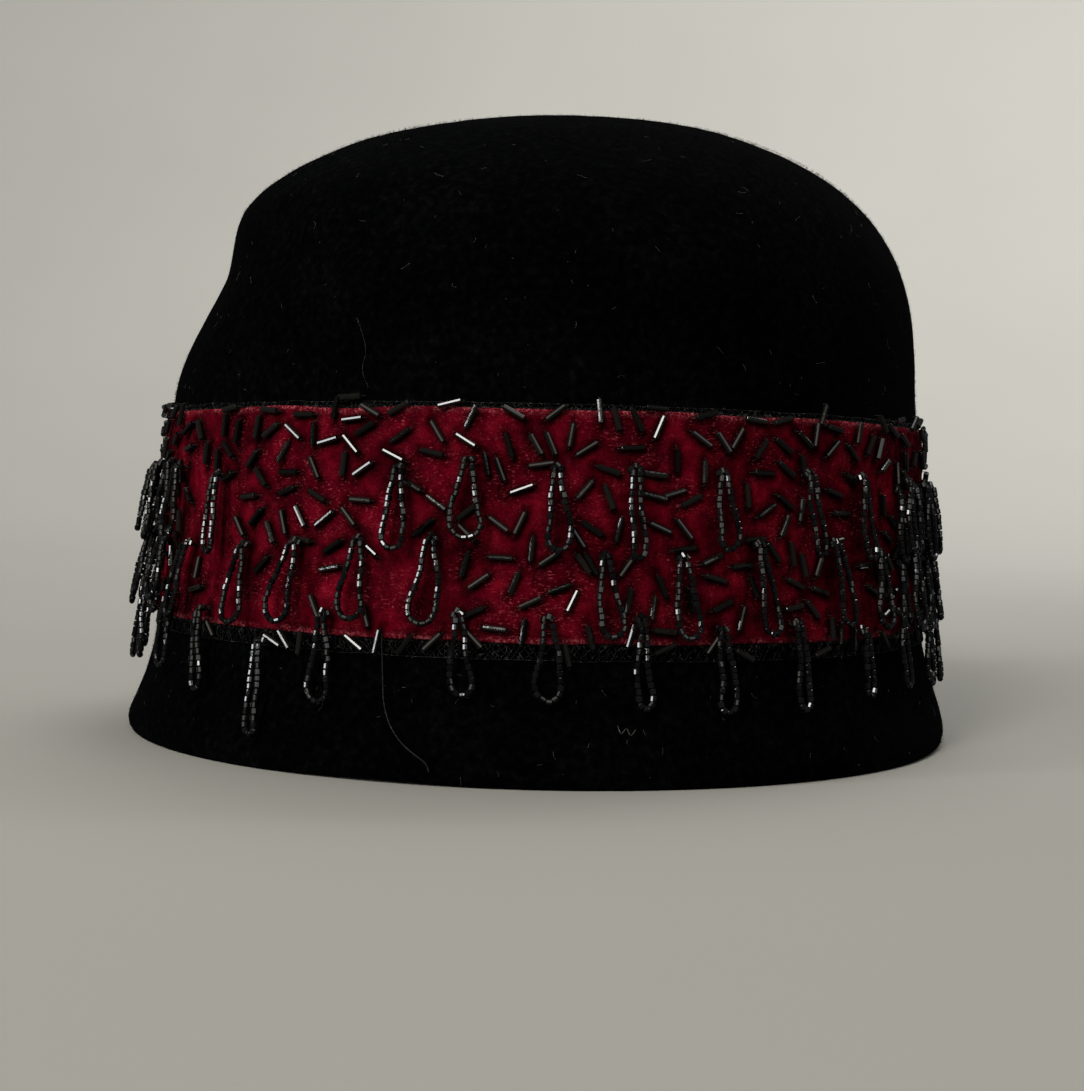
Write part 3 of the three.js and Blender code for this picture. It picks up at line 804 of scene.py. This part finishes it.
def make_loops(row):
    node, _, _, _, out_below = LOOP_ROWS[row]
    rng = np.random.default_rng(50 + row)
    centres, axes, normals, rolls, knots, cores = [], [], [], [], [], []
    under = side_loops(row) if row < 3 else []
    for loop in row_loops(row) + under:
        frame_ = loop_frame(loop, out_below, 1.1 if loop in under else 0.0)
        path = loop_path(loop, frame_, rng)
        spots, _ = evenly(path, SEED["pitch"])
        ahead = unit(np.gradient(spots, axis=0))
        centres.append(spots + rng.normal(0, 0.045, spots.shape))
        axes.append(unit(ahead + rng.normal(0, 0.04, spots.shape)))
        normals.append(np.broadcast_to(frame_[3], spots.shape))
        drift = np.interp(np.arange(len(spots)), np.linspace(0, len(spots), 6), rng.normal(0, 0.22, 6))
        roll = drift + rng.normal(0, 0.16, len(spots))
        # runs of beads strung with a facet to the light
        where = (loop[0] + 180) % 360 - 180
        few = 0.84 if where < -48 else 0.58 if where < 60 else 0.70
        runs = np.interp(np.arange(len(spots)), np.linspace(0, len(spots), 7), rng.uniform(0, 1, 7)) > few
        shining = facet_roll(axes[-1], normals[-1], halfway(spots, WINDOW)) + rng.normal(0, 0.025, len(spots))
        rolls.append(np.where(runs, shining, roll))
        # a small cluster where the string is sewn down
        stitch, x, y, z = frame_
        cluster = np.array([stitch + x * a + y * b - z * c for a, b, c in ((-0.85, 0.10, 0.75), (0.02, 0.75, 0.9), (0.88, 0.25, 0.85))])
        centres.append(cluster + rng.normal(0, 0.14, cluster.shape))
        axes.append(unit(y + x * rng.normal(0, 0.55, (3, 1)) - z * rng.uniform(0.1, 0.6, (3, 1))))
        normals.append(np.broadcast_to(z, cluster.shape))
        rolls.append(rng.uniform(-0.3, 0.3, 3))
        knots.append((frame_, path[0], path[-1]))
        cores.append(path[::4])
    centres, axes, normals, rolls = (np.concatenate(v) for v in (centres, axes, normals, rolls))
    count = len(centres)
    scales = np.stack([rng.normal(1, 0.04, count).clip(0.88, 1.06), rng.normal(1, 0.045, count).clip(0.88, 1.12)], -1)
    form = bead_form(SEED["length"], SEED["radius"], 0, 0.12)
    o = placed_beads(node + "_beads", centres, axes, normals, rolls, scales, form, SEED_GLASS, rng.uniform(0, 1, count))
    finish_piece(o, "seed_glass", node)
    return knots, cores


# ---------------------------------------------------------------- ribbon and net
AZ_RIBBON = 900
RIBBON_OUT = 1.32


def make_ribbon(stitches):
    az = np.arange(AZ_RIBBON) * 360 / AZ_RIBBON
    low = RIBBON["low"] + 0.16 * waves(61, az, 0, (5, 22), 0)
    high = RIBBON["high"] + 0.16 * waves(62, az, 0, (5, 22), 0)
    share = np.concatenate([[0.0, 0.006, 0.014, 0.022], np.linspace(0.032, 0.968, 40), [0.978, 0.986, 0.994, 1.0]])
    z = low[None] + (high - low)[None] * share[:, None]
    azg = np.broadcast_to(az[None], z.shape)
    across = share[:, None] * np.ones_like(z)
    edge_gap = np.minimum(across, 1 - across) * 46.4
    out = RIBBON_OUT + 0.07 * waves(63, azg, z, (20, 90), 0.6) - 0.30 * np.exp(-(edge_gap / 0.45) ** 2) - 0.10 * np.exp(-((edge_gap - 1.0) / 0.22) ** 2)
    # random darker patches of the pile; painted shade is added to these below
    crush_and_painted_shade = 0.18 * (waves(64, azg, z, (8, 60), 0.35) > 0.55) * 1.0
    # dimples where thread goes down into the pile; the dark share of each also paints shade into the velvet's colour,
    # round the beads and under and inside the loops
    step = 360 / AZ_RIBBON
    for a0, z0, deep, wide, dark in stitches:
        k0 = int(round((a0 % 360) / step))
        span = int(wide * 3.2 / (step * 1.66)) + 1
        ks = (np.arange(k0 - span, k0 + span + 1)) % AZ_RIBBON
        dx = ((az[ks] - a0 + 180) % 360 - 180) * 1.66
        zz = z[:, ks]
        g = np.exp(-((dx[None] ** 2 + (zz - z0) ** 2) / (2 * wide ** 2)))
        out[:, ks] -= deep * g
        crush_and_painted_shade[:, ks] = np.maximum(crush_and_painted_shade[:, ks], dark * g)
    out = np.maximum(out, 0.62)
    outer = off(azg, z, out)
    inner_share = np.array([1.0, 0.75, 0.5, 0.25, 0.0])
    zi = low[None] + (high - low)[None] * inner_share[:, None]
    inner = off(np.broadcast_to(az[None], zi.shape), zi, 0.45)
    rows = np.concatenate([outer, inner])
    faces = grid_faces(len(rows), AZ_RIBBON, closed_rows=True)
    edge = np.clip(1.35 - edge_gap / 0.95, 0, 1)
    blank = np.zeros((len(inner), AZ_RIBBON))
    o = mesh_object("ribbon_velvet", rows.reshape(-1, 3), faces, VELVET,
                    values={"edge": np.concatenate([edge, blank]), "crush_and_painted_shade": np.concatenate([crush_and_painted_shade.clip(0, 0.96), blank])})
    finish_piece(o, "velvet_ribbon", "ribbon")
    return o


def make_net():
    """Net: an open mesh of crossed threads at the two edges that show, a thin sheet behind the ribbon."""
    parts = []
    az = np.arange(360) * 1.0
    levels = np.array([27.6, 38, 50, 62, 75.0])
    sheet = [off(az, z, 0.40) for z in levels] + [off(az, z, 0.10) for z in levels[::-1]]
    parts.append((np.concatenate(sheet), [grid_faces(len(sheet), 360, closed_rows=True)]))
    rng = np.random.default_rng(71)
    per = 1.66
    for low, high, rows, count in ((24.9, 28.1, 5, 600), (74.4, 75.7, 2, 600)):
        step = 360 / count
        lines = []
        for way in (1, -1):
            a0 = np.arange(count) * step
            t = np.linspace(0, 1, rows + 1)
            drift = way * t[None] * rows * step * 0.5
            zz = low + (high - low) * t[None] + rng.normal(0, 0.17, (count, len(t)))
            out = 0.40 + rng.normal(0, 0.09, (count, len(t))).clip(-0.2, 0.3)
            lines.append(off(a0[:, None] + drift + rng.normal(0, 0.15, (count, len(t))), zz, out))
        lines = np.concatenate(lines)
        parts.append(tubes(lines[rng.uniform(0, 1, len(lines)) < 0.74], 0.075, 4))
    # the net's own cut edges
    for level, r in ((24.9, 0.10), (75.7, 0.10)):
        a = np.arange(720) * 0.5
        z = level + 0.10 * waves(int(level * 10), a, 0, (10, 60), 0)
        ring = [off(a, z + r * math.sin(q), 0.40 + r * math.cos(q)) for q in np.arange(4) * 2 * math.pi / 4]
        parts.append((np.concatenate(ring), [grid_faces(4, 720, closed_rows=True)]))
    vertices, faces = join(parts)
    o = mesh_object("net", vertices, faces, NET_THREAD)
    finish_piece(o, "net", "net_strip")
    return o


# ---------------------------------------------------------------- sewing threads, loose thread and lint
def make_stitches(knots, cores):
    rng = np.random.default_rng(81)
    paths = []
    for c, axis, n in zip(BUGLE_CENTRES, BUGLE_AXES, BUGLE_NORMALS):
        for s in (-1, 1):
            end = c + axis * s * BUGLE["length"] * 0.48
            out = c + axis * s * (BUGLE["length"] / 2 + 0.22)
            foot = c + axis * s * (BUGLE["length"] / 2 + 0.42) - n * 1.15
            paths.append([end, out, (out + foot) / 2 + axis * s * 0.10, foot])
    short = tubes(paths, 0.075, 4)
    paths = []
    for (stitch, x, y, z), a, b in knots:
        root = stitch - z * 3.0 + y * 0.25
        for start, side in ((a, -1), (b, 1)):
            mid = stitch - z * 1.1 + y * 0.75 + x * side * 0.25
            paths.append([start - y * 0.2, start + y * 0.3, mid, (mid + root) / 2 + x * side * 0.15, root])
        for _ in range(3):
            w = rng.normal(0, 0.34, (5, 3))
            mid = stitch - z * 1.4 + y * 0.45
            line = [root + w[0] * 0.5, mid + w[1], mid + w[2] + z * 0.6, mid + w[3], root + w[4] * 0.5]
            paths.append(line)
    knotted = tubes(paths, 0.11, 5)
    vertices, faces = join([short, knotted, tubes(cores, 0.30, 3)])
    o = mesh_object("stitches", vertices, faces, SEWING)
    finish_piece(o, None)


def smooth_line(points, steps):
    """A Catmull-Rom line through points."""
    p = np.asarray(points, float)
    p = np.concatenate([[2 * p[0] - p[1]], p, [2 * p[-1] - p[-2]]])
    out = []
    for t in np.linspace(0, len(points) - 1 - 1e-6, steps):
        i = int(t)
        f = t - i
        a, b, d, e = p[i:i + 4]
        out.append(0.5 * (2 * b + (d - a) * f + (2 * a - 5 * b + 4 * d - e) * f * f + (3 * b - a - 3 * d + e) * f ** 3))
    return np.array(out)


# azimuth, height, out
LOOSE_THREAD = [(-19.4, 29.0, 1.5), (-19.36, 27.3, 1.6), (-19.15, 21.8, 1.0), (-18.73, 15.9, 0.8), (-17.8, 12.0, 0.9),
                (-16.6, 9.3, 0.7), (-15.3, 7.4, 0.6), (-13.8, 5.8, 0.8), (-12.5, 4.5, 0.5), (-11.9, 2.9, 0.4)]
LINT_MARK = [(9.1, 12.6, 0.3), (9.5, 11.0, 0.5), (10.1, 12.0, 0.6), (10.6, 10.7, 0.5), (11.3, 11.9, 0.3)]
FINE_HAIR = [(-25.5, 92.8, 0.4), (-24.5, 90.2, 0.7), (-23.5, 86.1, 0.8), (-23.8, 82.0, 0.7), (-22.9, 78.4, 0.5)]


def make_threads():
    line = smooth_line([off(*row) for row in LOOSE_THREAD], 60)
    o = mesh_object("loose_thread", *tubes([line], 0.11, 6), SEWING)
    finish_piece(o, None)
    rng = np.random.default_rng(91)
    parts = [tubes([smooth_line([off(*row) for row in LINT_MARK], 24)], 0.085, 5),
             tubes([smooth_line([off(*row) for row in FINE_HAIR], 30)], 0.022, 4)]
    lines = []
    for _ in range(420):
        az = rng.uniform(0, 360)
        z = rng.uniform(2, 23) if rng.uniform() < 0.3 else rng.uniform(78, 140)
        around, up, n = tangents(az, z)
        p = off(az, z, 0.35)
        a = rng.uniform(0, 6.28)
        bend = rng.normal(0, 0.9)
        length = rng.uniform(0.3, 2.4) * (0.5 + rng.uniform())
        pts = []
        for s in np.linspace(0, 1, 6):
            ang = a + bend * s
            p = p + (around * math.cos(ang) + up * math.sin(ang)) * length / 6 + n * rng.normal(0, 0.05)
            pts.append(p)
        lines.append(pts)
    parts.append(tubes(lines, 0.028, 4))
    o = mesh_object("lint", *join(parts), LINT)
    finish_piece(o, None)


make_felt()
make_pile()
make_bugles()
KNOTS, CORES = [], []
for ROW in (1, 2, 3):
    found = make_loops(ROW)
    KNOTS += found[0]
    CORES += found[1]
make_stitches(KNOTS, CORES)
# each bead: dimples at its ends and along it, with painted shade (near-black velvet) round it, wider at the hat's sides
dimples_and_painted_shade = []
for (AZ, Z, TURN) in PLACES:
    d = np.array([math.cos(math.radians(TURN)) / 1.66, math.sin(math.radians(TURN))]) * (BUGLE["length"] / 2 + 0.35)
    for share, deep in ((-1.05, 0.20), (-0.6, 0.08), (-0.2, 0.06), (0.2, 0.06), (0.6, 0.08), (1.05, 0.20)):
        dimples_and_painted_shade.append((AZ + d[0] * share, Z + d[1] * share - 0.2, deep, 1.10 if abs(AZ) < 36 else 1.35, 0.96))
# each loop: a dimple at its stitch and painted shade (near-black velvet) down inside and under it
for ROW in (1, 2, 3):
    for loop in row_loops(ROW):
        dimples_and_painted_shade.append((loop[0], loop[1] + 0.4, 0.45, 1.9, 0.96))
        for down, wide, dark in ((2.5, 1.9, 0.85), (6.0, 2.2, 0.80), (10.0, 2.6, 0.80), (14.0, 2.8, 0.75)):
            dimples_and_painted_shade.append((loop[0] + math.degrees(loop[4] / 96) * down / loop[2], loop[1] - down, 0.04, wide, dark))
ribbon = make_ribbon(dimples_and_painted_shade)
net = make_net()
make_threads()


# ---------------------------------------------------------------- floor, backdrop and light
def stage_material(name, colour):
    m, nodes, links, p = new_material(name)
    where = object_place(nodes)
    soft = noise(nodes, links, where, 3, 2)
    dark = tuple(c * 0.97 for c in colour)
    links.new(ramp(nodes, links, soft, [(0.3, dark), (0.7, colour)]), p.inputs["Base Color"])
    p.inputs["Roughness"].default_value = 0.85
    p.inputs["Specular IOR Level"].default_value = 0.2
    return m


def make_stage():
    radius, corner, top = 3000.0, 2000.0, 2600.0
    rings = [(0.001, 0.0), (150, 0), (400, 0), (radius - corner, 0)]
    rings += [(radius - corner + corner * math.sin(a), corner - corner * math.cos(a)) for a in np.linspace(0, math.pi / 2, 24)[1:]]
    rings.append((radius, top))
    a = np.arange(96) * 2 * math.pi / 96
    points = np.concatenate([np.stack([r * np.sin(a), -r * np.cos(a), np.full(96, z)], -1) for r, z in rings])
    faces = grid_faces(len(rings), 96)[:, ::-1]
    floor = mesh_object("floor", points, faces, stage_material("pale_floor", (0.505, 0.493, 0.447)))
    # a studio sweep that takes light and shadow but sends none back to the hat
    floor.visible_diffuse = floor.visible_glossy = floor.visible_shadow = False


def area_light(name, place, target, size, power, colour):
    data = bpy.data.lights.new(name, "AREA")
    data.shape = "RECTANGLE"
    data.size, data.size_y = size
    data.energy = power
    data.color = colour
    o = bpy.data.objects.new(name, data)
    scene.collection.objects.link(o)
    o.location = place
    o.rotation_mode = "QUATERNION"
    o.rotation_quaternion = (Vector(target) - Vector(place)).to_track_quat("-Z", "Y")
    o.visible_camera = False
    return o


make_stage()
area_light("key", KEY * MM, (0, 0, 0.08), (0.55, 0.60), 17, (1.0, 0.985, 0.96))
area_light("window", WINDOW * MM, (0, -0.05, 0.05), (0.17, 1.0), 7.0, (0.97, 0.99, 1.0))
area_light("pale_wall", (-0.90, -2.10, 1.35), (0, 0, 0.07), (3.2, 2.2), 28.5, (1.0, 0.96, 0.86))
area_light("fill", (1.5, -1.3, 0.9), (0, 0, 0.08), (1.0, 1.0), 3.2, (0.96, 0.98, 1.0))
area_light("overhead", (0.3, 0.8, 2.2), (0, 0, 0.05), (1.6, 1.6), 14, (1.0, 1.0, 1.0))
area_light("backdrop", (0.9, 1.0, 2.2), (0.7, 3.0, 1.0), (1.8, 1.8), 52, (1.0, 1.0, 1.0))
world = bpy.data.worlds.new("world")
world.use_nodes = True
world.node_tree.nodes["Background"].inputs["Color"].default_value = (0.98, 0.99, 1.0, 1)
world.node_tree.nodes["Background"].inputs["Strength"].default_value = 0.06
scene.world = world
scene.view_settings.view_transform = "Standard"
